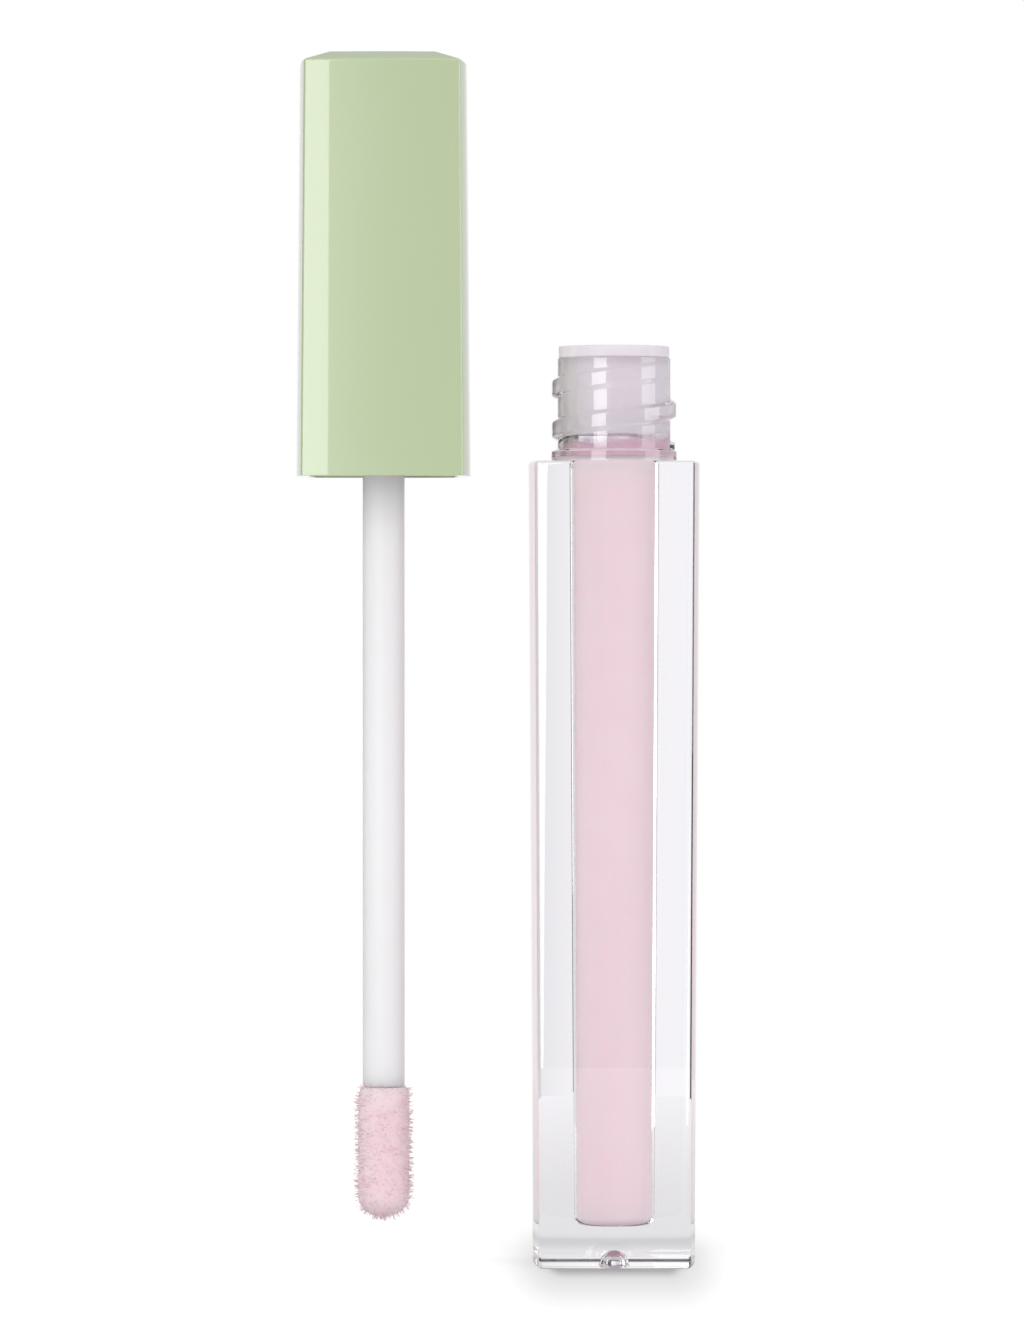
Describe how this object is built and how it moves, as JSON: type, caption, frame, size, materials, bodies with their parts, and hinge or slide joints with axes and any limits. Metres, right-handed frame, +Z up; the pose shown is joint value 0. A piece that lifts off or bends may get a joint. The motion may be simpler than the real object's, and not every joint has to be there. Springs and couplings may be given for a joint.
{
  "type": "lip gloss tube",
  "caption": "Clear square lip gloss bottle with a threaded neck and wiper, its square screw cap taken off beside it, with the wand and flocked tip.",
  "frame": {"origin": "middle of the bottle's foot, on the plane that the bottle stands on", "axes": "+Z up along the bottle's axis; the cap stands on the -X side; +Y points away from the viewer"},
  "size_m": [0.038, 0.0164, 0.1135],
  "materials": {
    "clear_plastic": "clear, polished",
    "frosted_plastic": "translucent, satin",
    "lip_gloss": "creamy pale pink liquid, glossy",
    "green_plastic": "pale green, glossy",
    "white_plastic": "white, satin",
    "seal_rubber": "soft, matt",
    "wand_plastic": "natural white, satin",
    "core_rubber": "soft, matt",
    "flock_fibre": "short fibres, wet with gloss"
  },
  "bodies": {
    "bottle": {"bottle": "clear_plastic", "wiper": "frosted_plastic", "gloss_fill": "lip_gloss"},
    "seal": {"seal_ring": "seal_rubber"},
    "cap": {"overcap": "green_plastic", "inner_cap": "white_plastic", "wand_stem": "wand_plastic", "tip_core": "core_rubber", "flock_coat": "flock_fibre"}
  },
  "joints": [
    {"name": "cap_lift", "type": "slide", "parent": "bottle", "child": "seal", "axis": [0, 0, 1], "range_m": [0, 0.085]},
    {"name": "cap_twist", "type": "hinge", "parent": "seal", "child": "cap", "pos_m": [-0.02166, 0, 0.0853], "axis": [0, 0, 1], "range_deg": [-702, 0]}
  ]
}
